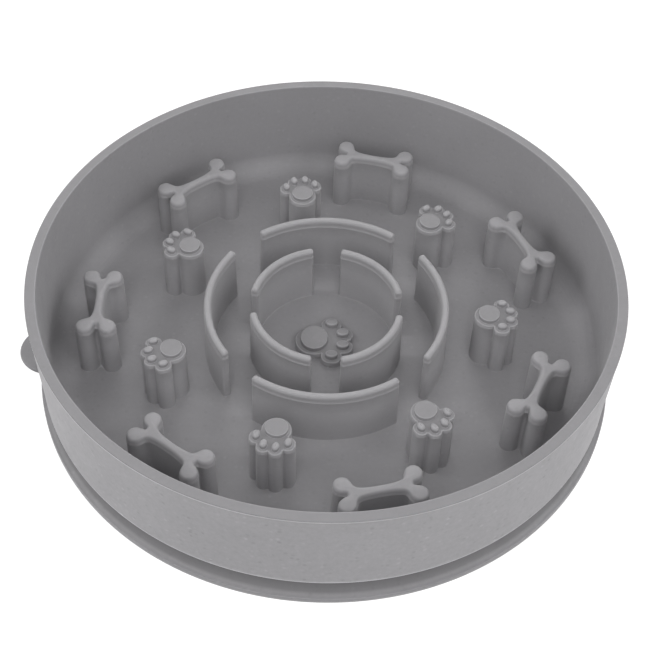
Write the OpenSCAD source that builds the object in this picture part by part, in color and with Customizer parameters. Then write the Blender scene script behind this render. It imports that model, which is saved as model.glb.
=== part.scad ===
// Slow feeder bowl of soft silicone, standing on a suction foot.
// Origin: centre of the bowl on the ground, +Z up. The pull tab points to -X.
// A ring's posts are numbered anticlockwise from +X, seen from above.

/* [Bowl] */
// Outer diameter across the rim
bowl_d = 200; // [185:1:240]
// Height from the ground to the top of the rim
bowl_h = 45; // [38:1:60]
// Thickness of the wall at the rim
rim_wall = 3.5; // [2.5:0.1:5]
// Rounding of the two edges of the rim
rim_round = 0.8; // [0.3:0.1:1.2]
// How far the outside of the wall leans in, from the rim to its bottom edge
outer_lean = 1.3; // [0:0.1:2]
// How far the inside of the wall leans in, from the rim to the cove
inner_lean = 1.5; // [0.5:0.1:3]
// Radius of the cove between the wall and the eating floor
cove_r = 8; // [6:0.5:12]
// Thickness of the eating floor
floor_t = 3; // [2:0.1:4]

/* [Suction foot] */
// How far the sealing lip reaches out past the wall's bottom edge
lip_out = 1.4; // [0:0.1:4]
// Height of the air space under the eating floor
cavity_h = 3.9; // [3:0.1:6]
// Height of the wall's outer bottom edge above the eating floor
edge_rise = 2.6; // [1.5:0.1:5]
// How far the neck lies inside the wall's bottom edge
neck_inset = 2.5; // [1:0.1:4]
// Width of the foot where it carries the bowl, measured in from the neck
foot_w = 5.2; // [3:0.1:7]
// Thickness of the sealing lip at its edge
lip_t = 2; // [1.2:0.1:3]
// Width of the flat ring that the lip rests on
lip_w = 1.5; // [1:0.1:3]

/* [Pull tab] */
// Width of the round pull tab
tab_d = 21.8; // [16:0.1:28]
// How far the tab reaches out past the sealing lip
tab_reach = 8.5; // [7:0.1:10]
// Thickness of the tab
tab_t = 1.6; // [1:0.1:1.8]
// Distance from the sealing lip to the line along which the tab folds
fold_out = 2.4; // [2:0.1:3.5]

/* [Bone posts] */
// Number of bone posts
bone_count = 7; // [5:1:8]
// Height of the bone posts above the eating floor
bone_h = 21.2; // [12:0.1:28]
// Distance between the knuckles along the bone
bone_len = 22.8; // [18:0.1:30]
// Distance between the knuckles across the bone
bone_w = 7.8; // [6.6:0.1:10]
// Radius of a knuckle
knuckle_r = 3; // [2.2:0.1:3.1]
// Width of the shank at its middle
shank_w = 3; // [1.8:0.1:4]
// Width of the shank where it meets the knuckles
shank_end_w = 6.9; // [5.6:0.1:7]
// Clearance between the outermost knuckle and the cove
bone_gap = 1.4; // [0.5:0.1:6]

/* [Paw posts] */
// Number of paw posts
paw_count = 7; // [5:1:8]
// Clear lane between the outer ring of arcs and the backs of the paw posts
paw_lane = 8.7; // [6:0.1:12]
// Height of a paw post's ledge above the eating floor
paw_h = 20.3; // [12:0.1:28]
// Radius of the palm pad
pad_r = 3.75; // [2.8:0.05:4.2]
// Height of the palm pad above the ledge
pad_rise = 1.6; // [0.6:0.1:2.5]
// Height of the toe beads above the ledge
toe_rise = 2.1; // [0.5:0.1:2.5]
// Width of the ledge round the pads
paw_ledge = 1.1; // [0.8:0.05:1.8]
// Turn of the ring of paw posts from +X, in degrees
paw_turn = -3.25; // [-8:0.25:8]

/* [Centre paw] */
// Radius of the palm pad of the paw in the well
centre_pad_r = 5.2; // [3.5:0.05:6]
// Height of its plinth above the eating floor
plinth_h = 2.2; // [1:0.1:6]
// Height of its pads above the plinth
centre_rise = 1.9; // [0.6:0.1:2.5]
// Width of the ledge round its pads
centre_ledge = 1.45; // [0.8:0.05:2]

/* [Arc walls] */
// Radius of the inner ring of arcs, measured to the middle of its walls
inner_arc_r = 25.5; // [21:0.1:28]
// Clear lane between the inner ring and the outer ring
arc_lane = 12.4; // [9:0.1:15]
// Height of the arc walls above the eating floor
arc_h = 22.3; // [12:0.1:28]
// Thickness of the arc walls at the top
arc_top_w = 2.5; // [1.6:0.1:3]
// Thickness of the arc walls at the foot
arc_foot_w = 2.9; // [2:0.1:4]
// Width of the gates between the arcs of the outer ring
outer_gate = 13.2; // [6:0.1:24]
// Width of the gates between the arcs of the inner ring
inner_gate = 9.9; // [6:0.1:16]

/* [Hidden] */
// Arc walls in each of the two rings
arc_count = 4;

$fn = 96;
// Sides of the large circle that the tab's root is cut to
fine_fn = 360;

// Paw figure, as shares of the palm pad's radius: [outwards, sideways] of each toe,
// and half the length and half the width of the oval toes
toe_shares = [[1.18, -1.42], [1.93, -0.54], [1.93, 0.54], [1.18, 1.42]];
toe_long_share = 0.42;
toe_wide_share = 0.3;
pad_round_share = 0.35;
toe_round_share = 0.8;
// The centre paw is set back by this share of its pad's radius, so that it sits in mid well
centre_back_share = 0.77;

// Height of the fold's clearance and of the tab's underside, and the overrun of cuts
tab_gap = 0.3;
tab_lift = 0.2;
over = 1;

// How fast the shank widens towards the knuckles
flare_power = 3;
flare_steps = 8;
round_steps = 5;
cove_steps = 10;

// Radii and heights of the bowl
rim_r = bowl_d / 2;
rim_in_r = rim_r - rim_wall;
edge_r = rim_r - outer_lean;
wall_in_r = rim_in_r - inner_lean;
floor_r = wall_in_r - cove_r;
floor_h = cavity_h + floor_t;
edge_h = floor_h + edge_rise;
cove_top = floor_h + cove_r;

// Radii of the suction foot
skirt_r = edge_r + lip_out;
neck_r = edge_r - neck_inset;
foot_r = neck_r - foot_w;

// Radii of the rings: the bones are set in from the cove, the rest is set out from the well
knuckle_reach = floor_r - bone_gap - knuckle_r;
bone_ring_r = sqrt(pow(knuckle_reach, 2) - pow(bone_len / 2, 2)) - bone_w / 2;
outer_arc_r = inner_arc_r + arc_foot_w + arc_lane;
paw_ring_r = outer_arc_r + arc_foot_w / 2 + paw_lane + paw_ledge + pad_r;

// Angle that the gates leave to each arc
outer_span = 360 / arc_count - 2 * asin(outer_gate / 2 / outer_arc_r);
inner_span = 360 / arc_count - 2 * asin(inner_gate / 2 / inner_arc_r);

// Places of the pull tab
tab_r = tab_d / 2;
tab_x = -(skirt_r + tab_reach - tab_r);
fold_x = -(skirt_r + fold_out);
fold_z = tab_lift + tab_t / 2;

// Points on a round stretch from angle a to angle b, about a centre at [x, y]
function bend(x, y, rx, ry, a, b, steps) =
    [for (i = [0:steps]) let (t = a + (b - a) * i / steps) [x + rx * cos(t), y + ry * sin(t)]];

// Half the shank's width at t along the bone, which runs to shank_end
shank_end = bone_len / 2 - knuckle_r / 2;
function shank_half(t) = (shank_w + (shank_end_w - shank_w) * pow(abs(t) / shank_end, flare_power)) / 2;

module silicone() {
    color([0.55, 0.54, 0.55]) children();
}

// The wall with its rounded rim, and the cove that runs into the eating floor
module bowl_wall() {
    silicone() rotate_extrude() polygon(concat(
        [[floor_r, cavity_h], [foot_r, cavity_h], [neck_r, edge_h], [edge_r, edge_h]],
        bend(rim_r - rim_round, bowl_h - rim_round, rim_round, rim_round, 0, 90, round_steps),
        bend(rim_in_r + rim_round, bowl_h - rim_round, rim_round, rim_round, 90, 180, round_steps),
        bend(floor_r, cove_top, cove_r, cove_r, 0, -90, cove_steps)));
}

// The flat floor that the food lies on
module eating_floor() {
    silicone() translate([0, 0, cavity_h]) cylinder(r = floor_r, h = floor_t);
}

// The ring under the wall, which sweeps out to a thin sealing lip
module suction_skirt() {
    silicone() rotate_extrude() polygon(concat(
        [[foot_r, cavity_h], [skirt_r - lip_w, 0], [skirt_r, 0]],
        bend(skirt_r, edge_h, skirt_r - neck_r, edge_h - lip_t, 270, 180, cove_steps)));
}

module tab_disc() {
    translate([tab_x, 0, tab_lift]) cylinder(r = tab_r, h = tab_t);
}

// The part of the tab that stays on the lip: it ends at the fold
module tab_root() {
    silicone() difference() {
        tab_disc();
        translate([0, 0, -over]) cylinder(r = skirt_r, h = bowl_h, $fn = fine_fn);
        translate([fold_x + tab_t / 2 + tab_gap - bowl_d, -bowl_d / 2, -over]) cube([bowl_d, bowl_d, bowl_h]);
    }
}

// The part of the tab that lifts: it is round at the fold
module pull_tab() {
    silicone() intersection() {
        tab_disc();
        union() {
            translate([fold_x, tab_d / 2, fold_z]) rotate([90, 0, 0]) cylinder(d = tab_t, h = tab_d);
            translate([fold_x - tab_d, -tab_d / 2, tab_lift]) cube([tab_d, tab_d, tab_t]);
        }
    }
}

// A bone lies along Y here, and faces outwards along X
module bone_outline() {
    side = [for (i = [-flare_steps:flare_steps]) let (t = shank_end * i / flare_steps) [shank_half(t), t]];
    other_side = [for (i = [-flare_steps:flare_steps]) let (t = -shank_end * i / flare_steps) [-shank_half(t), t]];
    polygon(concat(side, other_side));
    for (x = [-1, 1]) {
        for (y = [-1, 1]) {
            translate([x * bone_w / 2, y * bone_len / 2]) circle(r = knuckle_r);
        }
    }
}

module bone_post(i) {
    silicone() rotate([0, 0, 180 / bone_count + (i - 1) * 360 / bone_count])
        translate([bone_ring_r, 0, floor_h]) linear_extrude(bone_h) bone_outline();
}

// A low round pad with a rounded top edge
module pad(r, h, round_r) {
    rotate_extrude() polygon(concat(
        [[0, 0], [r, 0]],
        bend(r - round_r, h - round_r, round_r, round_r, 0, 90, round_steps),
        [[0, h]]));
}

// A toe bead: a pad drawn out along X by its stretch to both sides
module toe(stretch, r, h, round_r) {
    for (x = [-stretch, stretch]) {
        translate([x, 0, 0]) pad(r, h, round_r);
    }
    rotate([90, 0, 90]) translate([0, 0, -stretch]) linear_extrude(2 * stretch) polygon(concat(
        [[-r, 0], [r, 0]],
        bend(r - round_r, h - round_r, round_r, round_r, 0, 90, round_steps),
        bend(round_r - r, h - round_r, round_r, round_r, 90, 180, round_steps)));
}

// A paw with its palm pad on the origin and its toes towards +X:
// a scalloped post h high, a palm pad of radius r and four toe beads on its ledge
module paw(r, h, ledge, rise, bead_rise) {
    toe_r = r * toe_wide_share;
    stretch = r * toe_long_share - toe_r;
    linear_extrude(h) {
        circle(r = r + ledge);
        polygon(concat([[0, 0]], toe_shares * r));
        for (p = toe_shares) {
            translate(p * r - [stretch, 0]) circle(r = toe_r + ledge);
            translate(p * r + [stretch, 0]) circle(r = toe_r + ledge);
            translate(p * r - [stretch, toe_r + ledge]) square([2 * stretch, 2 * (toe_r + ledge)]);
        }
    }
    translate([0, 0, h]) {
        pad(r, rise, rise * pad_round_share);
        for (p = toe_shares) {
            translate(p * r) toe(stretch, toe_r, bead_rise, min(toe_r, bead_rise) * toe_round_share);
        }
    }
}

module paw_post(i) {
    silicone() rotate([0, 0, paw_turn + (i - 1) * 360 / paw_count])
        translate([paw_ring_r, 0, floor_h]) paw(pad_r, paw_h, paw_ledge, pad_rise, toe_rise);
}

// The flat paw on a low plinth in the middle of the well
module centre_paw() {
    silicone() translate([-centre_pad_r * centre_back_share, 0, floor_h])
        paw(centre_pad_r, plinth_h, centre_ledge, centre_rise, centre_rise);
}

// A curved wall with a fully rounded top, its middle on +X
module arc_wall(r, span) {
    rotate([0, 0, -span / 2]) rotate_extrude(angle = span) polygon(concat(
        [[r - arc_foot_w / 2, floor_h], [r + arc_foot_w / 2, floor_h]],
        bend(r, floor_h + arc_h - arc_top_w / 2, arc_top_w / 2, arc_top_w / 2, 0, 180, round_steps * 2)));
}

module outer_arc(i) {
    silicone() rotate([0, 0, (i - 1) * 360 / arc_count]) arc_wall(outer_arc_r, outer_span);
}

module inner_arc(i) {
    silicone() rotate([0, 0, (i - 0.5) * 360 / arc_count]) arc_wall(inner_arc_r, inner_span);
}

bowl_wall();
eating_floor();
suction_skirt();
tab_root();
pull_tab();
for (i = [1:bone_count]) bone_post(i);
for (i = [1:paw_count]) paw_post(i);
for (i = [1:arc_count]) outer_arc(i);
for (i = [1:arc_count]) inner_arc(i);
centre_paw();
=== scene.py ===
"""A round slow feeder bowl of matt grey silicone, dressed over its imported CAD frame."""

import math

import bmesh
import bpy
import numpy as np
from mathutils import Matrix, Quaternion, Vector


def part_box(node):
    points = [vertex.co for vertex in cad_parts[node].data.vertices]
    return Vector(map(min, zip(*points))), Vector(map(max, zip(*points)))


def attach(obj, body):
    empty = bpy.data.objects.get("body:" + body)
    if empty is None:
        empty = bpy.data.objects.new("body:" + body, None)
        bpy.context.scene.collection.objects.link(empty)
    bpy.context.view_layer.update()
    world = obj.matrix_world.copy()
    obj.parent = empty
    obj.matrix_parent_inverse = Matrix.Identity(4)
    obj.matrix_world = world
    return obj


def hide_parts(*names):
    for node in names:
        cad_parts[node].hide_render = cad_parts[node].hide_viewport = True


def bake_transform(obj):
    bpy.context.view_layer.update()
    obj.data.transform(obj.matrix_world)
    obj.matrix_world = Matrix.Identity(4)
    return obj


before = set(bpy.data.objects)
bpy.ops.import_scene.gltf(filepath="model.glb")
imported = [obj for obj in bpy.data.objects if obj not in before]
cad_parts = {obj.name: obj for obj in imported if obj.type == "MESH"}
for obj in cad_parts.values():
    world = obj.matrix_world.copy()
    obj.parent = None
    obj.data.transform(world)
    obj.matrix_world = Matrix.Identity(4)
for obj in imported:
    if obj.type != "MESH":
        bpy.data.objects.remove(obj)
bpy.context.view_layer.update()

# Wall and floor. The bowl is one round moulding of matt grey silicone, cast in a single shot: the wall runs
# through a cove into the floor. The mould's halves meet under the rim and at the wall's lower edge, and
# leave a thin flash bead there, which is painted pale as a highlight. Reach and heights come from the frame.
MM = 0.001
rim_r, rim_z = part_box("bowl_wall")[1].xz
floor_low, floor_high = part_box("eating_floor")
floor_z, under_z = floor_high.z, floor_low.z
edge_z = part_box("suction_skirt")[1].z

rim_wall = 3.6 * MM
rim_drop = 0.1 * MM
rim_outer_round = 0.35 * MM
rim_inner_round = 0.4 * MM
rim_line = 0.55 * MM
outer_lean = 1.3 * MM
inner_lean = 1.8 * MM
cove_r = 8 * MM
flash_out = 0.12 * MM
flash_h = 0.5 * MM
neck_inset = 2.5 * MM
foot_w = 5.2 * MM
small_round = 0.4 * MM
edge_r = rim_r - outer_lean
neck_r = edge_r - neck_inset
foot_r = neck_r - foot_w

lathe_segments = 384
support = 0.25 * MM
corner_step = math.radians(9)
least_corner_steps = 3
weld_gap = MM / 1000


def rounded_path(corners):
    """Points along straight runs, with each corner (r, z, radius) rounded by its radius."""
    path = []
    for k, (r, z, radius) in enumerate(corners):
        here = Vector((r, z))
        if radius == 0:
            path.append(here)
            continue
        before = (Vector(corners[k - 1][:2]) - here).normalized()
        after = (Vector(corners[k + 1][:2]) - here).normalized()
        turn = math.pi - before.angle(after)
        centre = here + (before + after).normalized() * radius / math.cos(turn / 2)
        start = here + before * radius * math.tan(turn / 2) - centre
        sweep = start.angle_signed(here + after * radius * math.tan(turn / 2) - centre)
        steps = max(least_corner_steps, round(turn / corner_step))
        for i in range(steps + 1):
            a = -sweep * i / steps
            path.append(centre + Vector((start.x * math.cos(a) - start.y * math.sin(a),
                                         start.x * math.sin(a) + start.y * math.cos(a))))
    return path


def supported(path):
    """The same path, with a point close to both ends of each long straight run."""
    points = [path[0]]
    for a, b in zip(path, path[1:]):
        run = b - a
        if run.length > 4 * support:
            points += [a + run.normalized() * support, (a + b) / 2, b - run.normalized() * support]
        points.append(b)
    return points


bowl_section = supported(rounded_path(
    [(0, under_z, 0), (foot_r, under_z, 0), (neck_r - small_round, edge_z, 0),
     (edge_r + flash_out, edge_z, small_round / 2), (edge_r + flash_out, edge_z + flash_h, small_round / 2),
     (edge_r, edge_z + 2 * flash_h, small_round), (rim_r - 1.5 * flash_out, rim_z - rim_line - flash_h, 0),
     (rim_r, rim_z - rim_line - flash_h / 2, 0), (rim_r, rim_z - rim_drop, rim_outer_round),
     (rim_r - rim_wall, rim_z, rim_inner_round),
     (rim_r - rim_wall - inner_lean, floor_z, cove_r), (0, floor_z, 0)]))


def mesh_object(name, points, edges=(), faces=()):
    """A new object with its place in its mesh."""
    mesh = bpy.data.meshes.new(name)
    mesh.from_pydata([tuple(p) for p in points], list(edges), list(faces))
    piece = bpy.data.objects.new(name, mesh)
    bpy.context.scene.collection.objects.link(piece)
    return piece


def new_tree(name, sockets):
    """A node tree with these named inputs and one geometry output."""
    tree = bpy.data.node_groups.new(name, "GeometryNodeTree")
    for label, kind in sockets:
        tree.interface.new_socket(label, in_out="INPUT", socket_type=kind)
    tree.interface.new_socket("Geometry", in_out="OUTPUT", socket_type="NodeSocketGeometry")
    return tree, tree.nodes.new("NodeGroupInput"), tree.nodes.new("NodeGroupOutput")


def run_tree(piece, tree, values):
    """Runs the tree on the piece with these values for its named inputs, and keeps the plain mesh."""
    piece.data.materials.append(values["Finish"])
    modifier = piece.modifiers.new(tree.name, "NODES")
    modifier.node_group = tree
    for socket in tree.interface.items_tree:
        if socket.in_out == "INPUT" and socket.name in values:
            modifier[socket.identifier] = values[socket.name]
    evaluated = piece.evaluated_get(bpy.context.evaluated_depsgraph_get())
    mesh = bpy.data.meshes.new_from_object(evaluated)
    piece.modifiers.clear()
    piece.data = mesh
    mesh.shade_smooth()


def lathe_tree():
    """Sweeps a section, drawn in X and Y, round a circle about Z."""
    tree, entry, result = new_tree("lathe", [
        ("Section", "NodeSocketGeometry"), ("Segments", "NodeSocketInt"),
        ("Circle Radius", "NodeSocketFloat"), ("Finish", "NodeSocketMaterial")])
    node, link = tree.nodes.new, tree.links.new
    section_curve, circle = node("GeometryNodeMeshToCurve"), node("GeometryNodeCurvePrimitiveCircle")
    sweep, merge = node("GeometryNodeCurveToMesh"), node("GeometryNodeMergeByDistance")
    realize, finish = node("GeometryNodeRealizeInstances"), node("GeometryNodeSetMaterial")
    merge.inputs["Distance"].default_value = weld_gap
    link(entry.outputs["Section"], section_curve.inputs["Mesh"])
    link(entry.outputs["Segments"], circle.inputs["Resolution"])
    link(entry.outputs["Circle Radius"], circle.inputs["Radius"])
    link(circle.outputs["Curve"], sweep.inputs["Curve"])
    link(section_curve.outputs["Curve"], sweep.inputs["Profile Curve"])
    link(sweep.outputs["Mesh"], merge.inputs["Geometry"])
    link(merge.outputs["Geometry"], realize.inputs["Geometry"])
    link(realize.outputs["Geometry"], finish.inputs["Geometry"])
    link(entry.outputs["Finish"], finish.inputs["Material"])
    link(finish.outputs["Geometry"], result.inputs["Geometry"])
    return tree


def silicone(name, colour, mottle, speck, grain, shade_fade_z=None):
    """Matt moulded silicone: a cloudy colour, faint specks of dust and a fine eggshell grain. Below a given
    height it grows lighter towards the ground: painted shade, darkest under an overhang, that fades downward."""
    cloud_scale, fleck_scale, dust_scale, sheen_scale = 38, 620, 520, 160
    fine_grain_scale, fine_grain, coarse_grain_scale, coarse_grain = 1500, 0.35, 240, 1
    least_rough, most_rough, shade_fade_gain = 0.56, 0.7, 2.6
    material = bpy.data.materials.new(name)
    material.use_nodes = True
    nodes, link = material.node_tree.nodes, material.node_tree.links.new
    shader = nodes["Principled BSDF"]
    shader.inputs["Specular IOR Level"].default_value = 0.35
    shader.inputs["Sheen Weight"].default_value = 0.06
    shader.inputs["Sheen Roughness"].default_value = 0.5
    where = nodes.new("ShaderNodeTexCoord").outputs["Object"]

    def noise(scale, detail, roughness=0.5):
        texture = nodes.new("ShaderNodeTexNoise")
        texture.inputs["Scale"].default_value = scale
        texture.inputs["Detail"].default_value = detail
        texture.inputs["Roughness"].default_value = roughness
        link(where, texture.inputs["Vector"])
        return texture.outputs["Fac"]

    def spread(value, low, high, to_low, to_high):
        ramp = nodes.new("ShaderNodeMapRange")
        for label, number in (("From Min", low), ("From Max", high), ("To Min", to_low), ("To Max", to_high)):
            ramp.inputs[label].default_value = number
        link(value, ramp.inputs["Value"])
        return ramp.outputs["Result"]

    def combine(operation, a, b):
        math_node = nodes.new("ShaderNodeMath")
        math_node.operation = operation
        link(a, math_node.inputs[0])
        link(b, math_node.inputs[1])
        return math_node.outputs["Value"]

    cloud = spread(noise(cloud_scale, 3), 0.3, 0.7, 1 - mottle, 1 + mottle)
    fleck = spread(noise(fleck_scale, 2, 0.7), 0.25, 0.75, 1 - speck, 1 + speck)
    cells = nodes.new("ShaderNodeTexVoronoi")
    cells.inputs["Scale"].default_value = dust_scale
    link(where, cells.inputs["Vector"])
    dust_spot = spread(cells.outputs["Distance"], 0.15, 0.45, 1, 0)
    tone = nodes.new("ShaderNodeSeparateColor")
    link(cells.outputs["Color"], tone.inputs["Color"])
    dust_tone = spread(tone.outputs["Red"], 0, 1, -3 * speck, 3 * speck)
    dust_mask = spread(tone.outputs["Green"], 0.45, 0.6, 0, 1)
    dust = combine("MULTIPLY", combine("MULTIPLY", dust_spot, dust_mask), dust_tone)
    strength = combine("ADD", combine("MULTIPLY", cloud, fleck), dust)
    # Painted shade: below the given height the colour is scaled up towards the ground, so a dark shade fades
    # downward.
    if shade_fade_z:
        place = nodes.new("ShaderNodeSeparateXYZ")
        link(where, place.inputs["Vector"])
        strength = combine("MULTIPLY", strength, spread(place.outputs["Z"], 0, shade_fade_z, shade_fade_gain, 1))
    tint = nodes.new("ShaderNodeVectorMath")
    tint.operation = "SCALE"
    tint.inputs[0].default_value = colour
    link(strength, tint.inputs["Scale"])
    link(tint.outputs["Vector"], shader.inputs["Base Color"])
    link(spread(noise(sheen_scale, 3), 0.3, 0.7, least_rough, most_rough), shader.inputs["Roughness"])

    surface = combine("ADD", spread(noise(fine_grain_scale, 2), 0, 1, 0, fine_grain),
                      spread(noise(coarse_grain_scale, 3), 0, 1, 0, coarse_grain))
    bump = nodes.new("ShaderNodeBump")
    bump.inputs["Strength"].default_value = grain
    bump.inputs["Distance"].default_value = 0.1 * MM
    link(surface, bump.inputs["Height"])
    link(bump.outputs["Normal"], shader.inputs["Normal"])
    return material


def turned(name, path, finish, nodes):
    """A piece turned about Z from a section that starts and ends on the axis, or closes on itself."""
    piece = mesh_object(name, [(p.x - circle_r, -p.y, 0) for p in reversed(path)],
                        edges=[(i, i + 1) for i in range(len(path) - 1)])
    run_tree(piece, lathe, {"Segments": lathe_segments, "Circle Radius": circle_r, "Finish": finish})
    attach(piece, "bowl")
    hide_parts(*nodes)
    return piece


def zone(piece, finish, least_r, low_z, high_z):
    """Gives a finish to the faces outside a radius and between two heights."""
    piece.data.materials.append(finish)
    for face in piece.data.polygons:
        if math.hypot(*face.center.xy) > least_r and low_z < face.center.z < high_z:
            face.material_index = len(piece.data.materials) - 1


circle_r = rim_r / 2
above_all = 2 * rim_z
lathe = lathe_tree()
body_silicone = silicone("body_silicone", (0.27, 0.265, 0.275), 0.03, 0.025, 0.35)
# Painted light: a lighter copy of the bowl's silicone for the outer wall, standing in for light bounced up
# from the ground onto it.
lit_outer_silicone = silicone("lit_outer_silicone", (0.385, 0.378, 0.392), 0.03, 0.06, 0.4)
flash_highlight_silicone = silicone("flash_highlight_silicone", (0.6, 0.59, 0.61), 0.1, 0.04, 0.3)
# Painted shade: a darker copy of the silicone for the rim's top, the flat paw pads and the pull tab, which
# the lamps alone leave too light.
shade_painted_silicone = silicone("shade_painted_silicone", (0.22, 0.216, 0.224), 0.02, 0.02, 0.3)
bowl = turned("bowl_body", bowl_section, body_silicone, ("bowl_wall", "eating_floor"))
# Painted shade: the rim's top takes the darker copy of the silicone.
zone(bowl, shade_painted_silicone, rim_r - rim_wall + rim_inner_round, rim_z - rim_line, above_all)
# Painted light: the outer wall takes the lighter copy of the silicone.
zone(bowl, lit_outer_silicone, rim_r - outer_lean - flash_out, edge_z + flash_h, rim_z - rim_line - flash_h)
# Painted highlight: the thin flash beads under the rim and at the wall's lower edge are real moulding flash,
# but their pale colour stands in for the light they catch.
zone(bowl, flash_highlight_silicone, rim_r - flash_out, rim_z - rim_line - flash_h / 2, rim_z - rim_line + flash_h / 3)
zone(bowl, flash_highlight_silicone, edge_r, edge_z, edge_z + flash_h)

# Suction foot. A ring under the wall, moulded with it, that sweeps out from a narrow neck to a thin lip. The
# lip seals on the ground. The foot is painted dark as the shade under the wall's overhang, and grows lighter
# towards the ground, where that painted shade fades. It is turned as the bowl is.
lip_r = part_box("suction_skirt")[1].x
lip_t = 2 * MM
lip_w = 1.5 * MM
seat = 0.3 * MM
flare_steps = 14


def flare(a_share):
    """A point on the sweep from the lip's upper edge to the neck, a quarter of an ellipse."""
    a = math.radians(270 - 90 * a_share)
    return (lip_r - small_round + (lip_r - small_round - neck_r) * math.cos(a),
            edge_z + (edge_z - lip_t) * math.sin(a), 0)


foot_section = supported(rounded_path(
    [(foot_r, under_z + seat, 0), (foot_r, under_z - seat, 0), (lip_r - lip_w, 0, small_round),
     (lip_r, 0, small_round / 2), (lip_r, lip_t, small_round)]
    + [flare(i / flare_steps) for i in range(1, flare_steps)]
    + [(neck_r, edge_z - seat, 0), (neck_r, edge_z + seat, 0), (foot_r, under_z + seat, 0)]))
# Painted shade: a dark copy of the silicone for the foot, lightened towards the ground, in place of the
# shadow under the overhanging wall.
shaded_foot_silicone = silicone("shaded_foot_silicone", (0.165, 0.162, 0.168), 0.04, 0.03, 0.2, shade_fade_z=1.5 * lip_t)
turned("suction_foot", foot_section, shaded_foot_silicone, ("suction_skirt",))

# Bone posts. A ring of bone-shaped posts stands beside the wall. They are moulded with the floor, so each
# one flares into it at the root, and its top edge is softly rounded.
bone_nodes = [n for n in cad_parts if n.startswith("bone_post")]
bone_low, bone_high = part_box("bone_post_4")  # the post on the -X side, which lies along Y
bone_count = len(bone_nodes)
bone_len = 22.8 * MM
bone_w = 7.8 * MM
knuckle_r = 3 * MM
shank_w = 3 * MM
shank_end_w = 6.9 * MM
shank_end = 9.9 * MM
bone_ring_r = -(bone_low.x + bone_high.x) / 2
root_r = 0.15 * MM
root_sink = 0.3 * MM
draft = 0.2 * MM
top_in = 0.9 * MM
top_down = 1.6 * MM
top_crown = 0.05 * MM
seam_out = 0.1 * MM
seam_step = 0.12 * MM
seam_below_top = 1 * MM
bone_valley_r = 2 * MM
shank_bend = 3
outline_points = 256
cell = 0.12 * MM
even_share = 0.2


def at_runs(loop, run, where):
    """Points on a closed line at these distances along it."""
    return np.stack([np.interp(where % run[-1], run, loop[:, k]) for k in (0, 1)], 1)


def contour(field, reach, level, fill=0):
    """The closed line where a distance field has this level, and the distances along it. It joins the places
    where the line cuts a fine grid, each to the nearest one left. Fill rounds the field's valleys more."""
    sides = [np.linspace(-half, half, math.ceil(2 * half / cell)) for half in reach]
    places = np.stack(np.meshgrid(*sides, indexing="ij"), 2)
    values = field(places.reshape(-1, 2), fill).reshape(places.shape[:2]) - level
    spots = []
    for axis in (0, 1):
        a, b = (np.moveaxis(values, axis, 0)[part] for part in (slice(None, -1), slice(1, None)))
        start = np.moveaxis(places, axis, 0)[:-1]
        step = np.eye(2)[axis] * (sides[axis][1] - sides[axis][0])
        cut = (a < 0) != (b < 0)
        spots.append(start[cut] + (a[cut] / (a[cut] - b[cut]))[:, None] * step)
    left = np.concatenate(spots)
    here = np.argmin(abs(left[:, 1]) + (left[:, 0] < 0))
    line = [left[here]]
    while len(left) > 1:
        left = np.delete(left, here, axis=0)
        here = np.argmin(((left - line[-1]) ** 2).sum(axis=1))
        line.append(left[here])
    loop = np.array(line + line[:1])
    if np.cross(loop[:-1], loop[1:]).sum() < 0:
        loop = loop[::-1]
    return loop, np.concatenate([[0], np.cumsum(np.hypot(*np.diff(loop, axis=0).T))])


def smooth_union(a, b, k):
    """The nearer of two distances, with the valley between the shapes filled to a radius of about k."""
    h = np.clip(0.5 + (b - a) / (2 * k), 0, 1)
    return b + (a - b) * h - k * h * (1 - h)


def raised(field, reach, count, levels):
    """Rings of points for a post: one ring for each (offset from the outline, height). Each point stays
    close beside the one below it, and the points of a ring never change their order."""
    loop, run = contour(field, reach, 0)
    ring, rings = at_runs(loop, run, np.linspace(0, run[-1], count, endpoint=False)), []
    for offset, height in levels:
        loop, run = contour(field, reach, offset, 2 * abs(offset))
        even = np.linspace(0, run[-1], count, endpoint=False)
        nearest = run[np.argmin(np.hypot(*(ring[:, None] - loop[None]).T), axis=0)]
        nearest = even + (nearest - even + run[-1] / 2) % run[-1] - run[-1] / 2
        ring = at_runs(loop, run, (1 - even_share) * np.maximum.accumulate(nearest) + even_share * even)
        rings.append(np.column_stack([ring, np.full(count, height)]))
    return rings


def quarter(steps, first=0):
    """Angles of a quarter turn, in steps."""
    return [math.radians(90) * i / steps for i in range(first, steps + 1)]


def root_levels(foot_z, flare_r, lean):
    """Offsets and heights of a fillet at a root. It dips just under the floor and runs on, nearly flat."""
    out = flare_r + lean
    levels = [(out + 0.5 * MM, foot_z - root_sink), (out + 0.6 * MM, foot_z - 0.12 * MM)]
    levels += [(out + 0.3 * MM, foot_z - 0.05 * MM), (out + 0.1 * MM, foot_z - 0.02 * MM)]
    return levels + [(out - flare_r * math.sin(a), foot_z - 0.006 * MM + flare_r * (1 - math.cos(a)))
                     for a in quarter(7)]


def side_levels(low, high, lean, seam_z):
    """Offsets and heights of a drafted side, with the faint line that the mould leaves at seam_z."""
    levels = [(lean * (1 - t), low + (high - low) * t) for t in (0.04, 0.35, 0.65)]
    at_seam = lean * (high - seam_z) / (high - low)
    levels += [(at_seam + seam_out * bulge, seam_z + seam_step * step)
               for bulge, step in ((0, -2), (0.5, -1), (1, 0), (0.5, 1), (0, 2))]
    return levels


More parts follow.
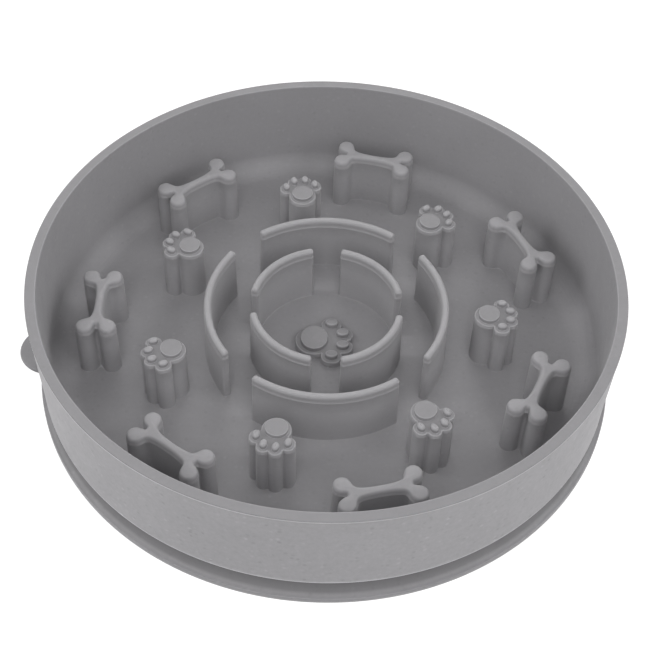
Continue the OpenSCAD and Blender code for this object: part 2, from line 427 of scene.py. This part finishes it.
def post_levels(foot_z, top_z, flare_r, lean, top_in, top_down, crown):
    """Offsets and heights of a moulded post: root fillet, drafted side, rounded top edge, slight crown."""
    levels = root_levels(foot_z, flare_r, lean)
    high = top_z - top_down - crown
    levels += side_levels(foot_z + flare_r, high, lean, high - min(seam_below_top, (high - foot_z) / 2))
    levels += [(-top_in * (1 - math.cos(a)), high + top_down * math.sin(a)) for a in quarter(7)]
    levels.append((-1.15 * top_in, top_z))
    return levels


def loft(rings):
    """Points and faces of one closed form through rings of points, from the bottom up."""
    n, last = len(rings[0]), (len(rings) - 1) * len(rings[0])
    faces = [tuple(range(n))[::-1], tuple(range(last, last + n))]
    for k in range(len(rings) - 1):
        a, b = k * n, (k + 1) * n
        faces += [(a + i, a + (i + 1) % n, b + (i + 1) % n, b + i) for i in range(n)]
    return np.concatenate(rings), faces


def ring_tree():
    """Repeats a post round the Z axis, from a first angle on."""
    tree, entry, result = new_tree("ring_of_posts", [
        ("Post", "NodeSocketGeometry"), ("Count", "NodeSocketInt"),
        ("First Angle", "NodeSocketFloat"), ("Finish", "NodeSocketMaterial")])
    node, link = tree.nodes.new, tree.links.new
    places, copies = node("GeometryNodePoints"), node("GeometryNodeInstanceOnPoints")
    number, full_turn, turn = node("GeometryNodeInputIndex"), node("ShaderNodeMath"), node("ShaderNodeMath")
    angle, rotation = node("ShaderNodeMath"), node("ShaderNodeCombineXYZ")
    realize, finish = node("GeometryNodeRealizeInstances"), node("GeometryNodeSetMaterial")
    full_turn.operation, full_turn.inputs[0].default_value = "DIVIDE", 2 * math.pi
    turn.operation, angle.operation = "MULTIPLY", "ADD"
    link(entry.outputs["Count"], places.inputs["Count"])
    link(entry.outputs["Count"], full_turn.inputs[1])
    link(number.outputs["Index"], turn.inputs[0])
    link(full_turn.outputs["Value"], turn.inputs[1])
    link(turn.outputs["Value"], angle.inputs[0])
    link(entry.outputs["First Angle"], angle.inputs[1])
    link(angle.outputs["Value"], rotation.inputs["Z"])
    link(places.outputs["Points"], copies.inputs["Points"])
    link(entry.outputs["Post"], copies.inputs["Instance"])
    link(rotation.outputs["Vector"], copies.inputs["Rotation"])
    link(copies.outputs["Instances"], realize.inputs["Geometry"])
    link(realize.outputs["Geometry"], finish.inputs["Geometry"])
    link(entry.outputs["Finish"], finish.inputs["Material"])
    link(finish.outputs["Geometry"], result.inputs["Geometry"])
    return tree


def bone_field(points, fill):
    """Distance to the bone's outline: a waisted shank between two pairs of round knuckles."""
    x, y = points[:, 0], points[:, 1]
    widening = (np.minimum(abs(y), shank_end) / shank_end) ** shank_bend
    half = (shank_w + (shank_end_w - shank_w) * widening) / 2
    distance = np.maximum(abs(x) - half, abs(y) - shank_end)
    for side in (-1, 1):
        for end in (-1, 1):
            knuckle = np.hypot(x - side * bone_w / 2, y - end * bone_len / 2) - knuckle_r
            distance = smooth_union(distance, knuckle, bone_valley_r + fill)
    return distance


# Painted light: the posts, arc walls and centre paw take a lighter copy of the bowl's silicone.
lit_post_silicone = silicone("lit_post_silicone", (0.295, 0.29, 0.3), 0.02, 0.02, 0.3)
posts_ring = ring_tree()
bone_points, bone_faces = loft(raised(
    bone_field, (bone_w * 1.3, bone_len * 0.75), outline_points,
    post_levels(floor_z, bone_high.z, root_r, draft, top_in, top_down, top_crown)))
bones = mesh_object("bone_posts", bone_points + [bone_ring_r, 0, 0], faces=bone_faces)
half_step = math.pi / bone_count
run_tree(bones, posts_ring, {"Count": bone_count, "First Angle": half_step, "Finish": lit_post_silicone})
# Painted shade: the bone tops take the bowl's darker silicone, so they read dimmer than their sides.
zone(bones, body_silicone, 0, bone_high.z - top_down - 0.1 * MM, above_all)
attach(bones, "bowl")
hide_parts(*bone_nodes)

# Paw posts. A second ring of posts stands nearer the middle: each is a scalloped column that carries a
# paw, with a flat palm pad and four oval toe beads raised from a narrow ledge. The upper edges and the
# toes are painted lighter as highlights, and the pad is painted darker as shade.
paw_nodes = [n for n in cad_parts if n.startswith("paw_post")]
paw_turn = math.radians(-3.25)
paw_ring_r = 55.8 * MM
pad_r = 3.75 * MM
pad_rise = 1.6 * MM
pad_crown = 0.12 * MM
toe_rise = 2.1 * MM
toe_crown = 0.1 * MM
paw_ledge = 1.1 * MM
paw_ledge_round = 0.35 * MM
paw_draft = 0.1 * MM
valley_r = 0.1 * MM
bead_root_r = 0.15 * MM
column_points, pad_points, toe_points = 224, 72, 36
steep_normal, flat_normal = 0.2, 0.96
toe_long_share = 0.43
toe_wide_share = 0.32
toe_shares = [(1.18, -1.42), (1.93, -0.54), (1.93, 0.54), (1.18, 1.42)]
ledge_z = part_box("paw_post_1")[1].z - toe_rise


def paw_field(r, ledge):
    """Distance to the outline of a paw whose palm pad has radius r, with a ledge round its pads."""
    toes = [(r * out, r * side) for out, side in toe_shares]
    core = [(0, 0)] + toes

    def field(points, fill):
        x, y = points[:, 0], points[:, 1]
        distance = np.full(len(points), -np.inf)
        for (ax, ay), (bx, by) in zip(core, core[1:] + core[:1]):
            length = math.hypot(bx - ax, by - ay)
            distance = np.maximum(distance, ((x - ax) * (by - ay) - (y - ay) * (bx - ax)) / length)
        distance = smooth_union(distance, np.hypot(x, y) - r - ledge, valley_r + fill)
        for tx, ty in toes:
            stretched = np.maximum(abs(x - tx) - r * (toe_long_share - toe_wide_share), 0)
            toe = np.hypot(stretched, y - ty) - r * toe_wide_share - ledge
            distance = smooth_union(distance, toe, valley_r + fill)
        return distance
    return field


def bead(x, y, long_r, wide_r, foot_z, rise, top_r, crown, count):
    """Rings for an oval pad: a tight root, a rounded top edge and a low crown that closes over the middle."""
    root = bead_root_r
    levels = [(root, foot_z - root_sink), (root + 0.05 * MM, foot_z - 0.05 * MM)]
    levels += [(root * (1 - math.sin(a)), foot_z - 0.01 * MM + root * (1 - math.cos(a))) for a in quarter(4)]
    high = foot_z + rise - top_r - crown
    levels += [(-top_r * (1 - math.cos(a)), high + top_r * math.sin(a)) for a in quarter(6)]
    flat = min(long_r, wide_r) - top_r
    levels += [(-top_r - flat * t, foot_z + rise - crown * (1 - t) ** 2) for t in (0.1, 0.35, 0.65, 0.9)]
    angle = np.linspace(0, 2 * math.pi, count, endpoint=False)
    return [np.column_stack([x + (long_r + offset) * np.cos(angle), y + (wide_r + offset) * np.sin(angle),
                             np.full(count, height)]) for offset, height in levels]


def paw_mesh(r, ledge, ledge_z, pad_height, toe_height, pad_shares, pad_round, toe_round):
    """Points and faces of one paw on its column, its palm on the origin and its toes towards +X."""
    levels = post_levels(floor_z, ledge_z, root_r, paw_draft, paw_ledge_round, paw_ledge_round, 0.02 * MM)
    pad_long, pad_wide = (r * share for share in pad_shares)
    toe_long, toe_wide = r * toe_long_share, r * toe_wide_share
    forms = [loft(raised(paw_field(r, ledge), (4 * r, 4 * r), column_points, levels)),
             loft(bead(0, 0, pad_long, pad_wide, ledge_z, pad_height, pad_round, pad_crown, pad_points))]
    for out, side in toe_shares:
        forms.append(loft(bead(r * out, r * side, toe_long, toe_wide, ledge_z, toe_height, toe_round,
                               toe_crown, toe_points)))
    points, faces = [], []
    for form_points, form_faces in forms:
        start = sum(len(p) for p in points)
        points.append(form_points)
        faces += [tuple(start + i for i in face) for face in form_faces]
    return np.concatenate(points), faces


def paint_highlight_and_shade(piece, least_z, pad_z, cap_z):
    """Paints upper edges, and all that rises above cap_z, with a lighter silicone as a highlight. A flat pad
    is painted with the darker silicone as shade."""
    piece.data.materials.append(edge_highlight_silicone)
    piece.data.materials.append(shade_painted_silicone)
    for face in piece.data.polygons:
        at_edge = steep_normal < face.normal.z < flat_normal
        if face.center.z > least_z and (at_edge or face.center.z > cap_z):
            face.material_index = len(piece.data.materials) - 2
        elif face.center.z > pad_z:
            face.material_index = len(piece.data.materials) - 1


# Painted highlight: a lighter copy of the silicone for the upper edges and the toe domes.
edge_highlight_silicone = silicone("edge_highlight_silicone", (0.302, 0.297, 0.308), 0.04, 0.03, 0.3)
paw_points, paw_faces = paw_mesh(pad_r, paw_ledge, ledge_z, pad_rise, toe_rise, pad_shares=(0.96, 1.01),
                                 pad_round=0.3 * MM, toe_round=1.1 * MM)
paws = mesh_object("paw_posts", paw_points + [paw_ring_r, 0, 0], faces=paw_faces)
run_tree(paws, posts_ring, {"Count": len(paw_nodes), "First Angle": paw_turn, "Finish": lit_post_silicone})
paint_highlight_and_shade(paws, ledge_z - 0.4 * MM, ledge_z - 0.1 * MM, ledge_z + pad_rise + 0.1 * MM)
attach(paws, "bowl")
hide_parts(*paw_nodes)

# Centre paw. A larger, flatter paw lies in the middle of the well, on a low plinth. It is moulded with the
# floor like the posts, and its pads and toes rise to one height.
centre_pad_r = 5.2 * MM
centre_ledge = 1.45 * MM
centre_back_share = 0.77
plinth_z = floor_z + 2.2 * MM
centre_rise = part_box("centre_paw")[1].z - plinth_z
centre_points, centre_faces = paw_mesh(
    centre_pad_r, centre_ledge, plinth_z, centre_rise, centre_rise, pad_shares=(0.92, 1.04),
    pad_round=0.35 * MM, toe_round=0.7 * MM)
centre = mesh_object("centre_paw_relief", centre_points - [centre_pad_r * centre_back_share, 0, 0],
                     faces=centre_faces)
centre.data.shade_smooth()
centre.data.materials.append(lit_post_silicone)
# Painted highlight on the centre paw's upper edges, and painted shade on its flat tops.
paint_highlight_and_shade(centre, plinth_z + 0.5 * MM, plinth_z, above_all)
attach(centre, "bowl")
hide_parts("centre_paw")

# Arc walls. Two rings of four curved walls make a maze round the well. Each wall thins a little towards
# its top, which is a full round bead, and its ends are square with rounded edges.
arc_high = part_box("outer_arc_1")[1]
arc_top_w = 2.5 * MM
arc_foot_w = 2.9 * MM
bead_pinch = 0.06 * MM
bead_h = 2.2 * MM
bead_swell = 0.85
gate_round = 0.9 * MM
wall_points = 360


def bar_field(half_length):
    """Distance to the outline of an arc wall as it would be before it is bent: a long bar along Y."""
    def field(points, fill):
        x = abs(points[:, 0]) - arc_top_w / 2 + gate_round
        y = abs(points[:, 1]) - half_length + gate_round
        return np.hypot(np.maximum(x, 0), np.maximum(y, 0)) + np.minimum(np.maximum(x, y), 0) - gate_round
    return field


def bent(points, mid_r):
    """A bar's points, bent round the Z axis at this radius."""
    r, angle = mid_r + points[:, 0], points[:, 1] / mid_r
    return np.column_stack([r * np.cos(angle), r * np.sin(angle), points[:, 2]])


def arc_levels():
    """Offsets and heights of an arc wall: root fillet, thinning side, faint pinch and full round bead."""
    lean, bead_r = (arc_foot_w - arc_top_w) / 2, arc_top_w / 2
    levels = root_levels(floor_z, root_r, lean)
    high = arc_high.z - bead_h
    levels += side_levels(floor_z + root_r, high, lean, high - seam_below_top)
    levels += [(-bead_pinch, high + 0.1 * MM), (-bead_pinch / 4, high + 0.4 * MM)]
    levels += [(-bead_r * (1 - math.cos(a)) * bead_swell, arc_high.z - bead_r + bead_r * math.sin(a))
               for a in quarter(10)]
    return levels


def arc_wall_ring(name, mid_r, gate, first_angle, nodes):
    """One ring of four arc walls, dressed in the posts' lighter silicone, which is painted light."""
    half_length = mid_r * (math.radians(45) - math.asin(gate / 2 / mid_r))
    reach = (arc_top_w * 1.6, half_length * 1.6)
    rings = raised(bar_field(half_length), reach, wall_points, arc_levels())
    points, faces = loft(rings)
    walls = mesh_object(name, bent(points, mid_r), faces=faces)
    run_tree(walls, posts_ring, {"Count": len(nodes), "First Angle": first_angle, "Finish": lit_post_silicone})
    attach(walls, "bowl")
    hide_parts(*nodes)


outer_nodes = [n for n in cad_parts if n.startswith("outer_arc")]
inner_nodes = [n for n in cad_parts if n.startswith("inner_arc")]
outer_arc_r, outer_gate = arc_high.x - arc_foot_w / 2, 13.2 * MM
inner_arc_r, inner_gate = 25.5 * MM, 9.9 * MM
arc_wall_ring("outer_arc_walls", outer_arc_r, outer_gate, 0, outer_nodes)
arc_wall_ring("inner_arc_walls", inner_arc_r, inner_gate, math.radians(45), inner_nodes)

# Pull tab. A round tongue, moulded with the sealing lip and as thin as its edge: a finger lifts it to let
# air in under the lip.
tab_low, tab_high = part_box("pull_tab")
tab_d = 21.8 * MM
tab_middle_x = tab_low.x + tab_d / 2
tab_inner_x = -(lip_r - 0.5 * MM)
tab_round = 0.6 * MM
tab_z = (tab_low.z + tab_high.z) / 2
tab_t = tab_high.z - tab_low.z
tab_steps, tab_columns = 44, 48


def tab_sheet(side):
    """A grid of points over the tab: its top for side 1, its underside for side -1."""
    rows = []
    for i in range(tab_steps + 1):
        x = tab_low.x + (tab_inner_x - tab_low.x) * (1 - math.cos(math.pi / 2 * i / tab_steps))
        half = math.sqrt(max((tab_d / 2) ** 2 - (x - tab_middle_x) ** 2, 0))
        row = []
        for j in range(tab_columns + 1):
            y = -half * math.cos(math.pi * j / tab_columns)
            inset = tab_d / 2 - math.hypot(x - tab_middle_x, y)
            dip = 1 - min(max(inset, 0) / tab_round, 1)
            row.append((x, y, tab_z + side * tab_t / 2 * math.sqrt(max(1 - dip * dip, 0))))
        rows.append(row)
    return rows


tab_points, tab_faces = [], []
for side in (1, -1):
    rows, start = tab_sheet(side), len(tab_points)
    width = len(rows[0])
    tab_points += [point for row in rows for point in row]
    for i in range(len(rows) - 1):
        for j in range(width - 1):
            a = start + i * width + j
            quad = (a, a + width, a + width + 1, a + 1)
            tab_faces.append(quad if side == 1 else quad[::-1])
end = (len(rows) - 1) * width
for j in range(width - 1):
    tab_faces.append((end + j, len(rows) * width + end + j, len(rows) * width + end + j + 1, end + j + 1))
tab = mesh_object("pull_tab_tongue", tab_points, faces=tab_faces)


def welded(piece):
    """Joins points that fall together, and drops the faces that close up."""
    shape = bmesh.new()
    shape.from_mesh(piece.data)
    bmesh.ops.remove_doubles(shape, verts=shape.verts, dist=weld_gap)
    bmesh.ops.recalc_face_normals(shape, faces=shape.faces)
    shape.to_mesh(piece.data)
    shape.free()
    piece.data.shade_smooth()


welded(tab)
# Painted shade: the tab takes the darker copy of the silicone, in place of the shade it lies in.
tab.data.materials.append(shade_painted_silicone)
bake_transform(tab)
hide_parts("tab_root", "pull_tab")

# Studio. The bowl stands on plain white paper in a tent of soft boxes, and the camera looks down at it as
# in the photograph. The paper glows for the camera and in reflections only, up to white in the distance,
# so it keeps the bowl's shadow and throws no light of its own.
half_paper = 3
near_paper, far_paper, near_glow, far_glow = 0.4, 1, 0.86, 1
floor = mesh_object("studio_floor", [(x * half_paper, y * half_paper, 0) for x, y in
                                     ((-1, -1), (1, -1), (1, 1), (-1, 1))], faces=[(0, 1, 2, 3)])
paper = bpy.data.materials.new("white_paper")
paper.use_nodes = True
paper_nodes, paper_link = paper.node_tree.nodes, paper.node_tree.links.new
paper_nodes["Principled BSDF"].inputs["Base Color"].default_value = (0.25, 0.25, 0.25, 1)
paper_nodes["Principled BSDF"].inputs["Roughness"].default_value = 0.9
glow, ray, seen = (paper_nodes.new(kind) for kind in
                   ("ShaderNodeEmission", "ShaderNodeLightPath", "ShaderNodeMath"))
both, scaled = paper_nodes.new("ShaderNodeAddShader"), paper_nodes.new("ShaderNodeMath")
seen.operation, scaled.operation = "MAXIMUM", "MULTIPLY"
paper_place, far, paper_level = (paper_nodes.new(kind) for kind in (
    "ShaderNodeNewGeometry", "ShaderNodeVectorMath", "ShaderNodeMapRange"))
far.operation = "LENGTH"
for socket, number in (("From Min", near_paper), ("From Max", far_paper), ("To Min", near_glow),
                       ("To Max", far_glow)):
    paper_level.inputs[socket].default_value = number
paper_link(paper_place.outputs["Position"], far.inputs[0])
paper_link(far.outputs["Value"], paper_level.inputs["Value"])
paper_link(paper_level.outputs["Result"], scaled.inputs[1])
paper_link(ray.outputs["Is Camera Ray"], seen.inputs[0])
paper_link(ray.outputs["Is Glossy Ray"], seen.inputs[1])
paper_link(seen.outputs["Value"], scaled.inputs[0])
paper_link(scaled.outputs["Value"], glow.inputs["Strength"])
paper_link(glow.outputs["Emission"], both.inputs[0])
paper_link(paper_nodes["Principled BSDF"].outputs["BSDF"], both.inputs[1])
paper_link(both.outputs["Shader"], paper_nodes["Material Output"].inputs["Surface"])
floor.data.materials.append(paper)

world = bpy.data.worlds.new("studio")
bpy.context.scene.world = world
world.use_nodes = True
sky_nodes, sky_link = world.node_tree.nodes, world.node_tree.links.new
sky = sky_nodes["Background"]
sky.inputs["Color"].default_value = (1, 1, 1, 1)
sky_ray, sky_seen, sky_any, sky_strength = (sky_nodes.new(kind) for kind in (
    "ShaderNodeLightPath", "ShaderNodeMath", "ShaderNodeMath", "ShaderNodeMapRange"))
sky_seen.operation = sky_any.operation = "MAXIMUM"
sky_strength.inputs["To Min"].default_value = 0
sky_strength.inputs["To Max"].default_value = 1
sky_link(sky_ray.outputs["Is Camera Ray"], sky_seen.inputs[0])
sky_link(sky_ray.outputs["Is Glossy Ray"], sky_seen.inputs[1])
sky_link(sky_seen.outputs["Value"], sky_any.inputs[0])
sky_link(sky_ray.outputs["Is Transmission Ray"], sky_any.inputs[1])
sky_link(sky_any.outputs["Value"], sky_strength.inputs["Value"])
sky_link(sky_strength.outputs["Result"], sky.inputs["Strength"])


def direction(azimuth, elevation):
    """The direction from the bowl at this azimuth from +X, and this angle above the ground."""
    return Vector((math.cos(elevation) * math.cos(azimuth), math.cos(elevation) * math.sin(azimuth),
                   math.sin(elevation)))


def soft_box(name, place, aim, side, power):
    """A square lamp that faces the bowl."""
    lamp = bpy.data.lights.new(name, "AREA")
    lamp.shape, lamp.size, lamp.energy = "SQUARE", side, power
    box = bpy.data.objects.new(name, lamp)
    bpy.context.scene.collection.objects.link(box)
    box.location = place
    box.rotation_euler = (aim - place).to_track_quat("-Z", "Y").to_euler()


# The power of each box, by its angle above the ground and in steps of 45 degrees round from +X
tent = {14: (1.1, 2.4, 1.6, 1.5, 2.8, 0.4, 0, 1.1),
        38: (3.4, 1, 2.1, 1.3, 3.5, 2, 4.2, 2.6),
        62: (0, 0, 1.3, 0, 0, 0, 2.8, 0)}
tent_r, box_side, tent_middle = 1.2, 0.6, Vector((0, 0, 0.02))
for height_angle, powers in tent.items():
    for k, power in enumerate(powers):
        if power > 0:
            place = tent_middle + tent_r * direction(math.radians(45 * k), math.radians(height_angle))
            soft_box("box_%d_%d" % (height_angle, 45 * k), place, tent_middle, box_side, power)

camera_data = bpy.data.cameras.new("camera")
camera = bpy.data.objects.new("camera", camera_data)
bpy.context.scene.collection.objects.link(camera)
bpy.context.scene.camera = camera
aim = Vector((0.00178, -0.02778, 0.045))
azimuth, elevation, distance = math.radians(-91.25), math.radians(48.744), 0.44147
camera.location = aim + distance * direction(azimuth, elevation)
roll = Quaternion((0, 0, 1), math.radians(2.044))
camera.rotation_mode = "QUATERNION"
camera.rotation_quaternion = (aim - camera.location).to_track_quat("-Z", "Y") @ roll
camera_data.sensor_width, camera_data.lens = 36, 74.53
bpy.context.scene.view_settings.view_transform = "Standard"
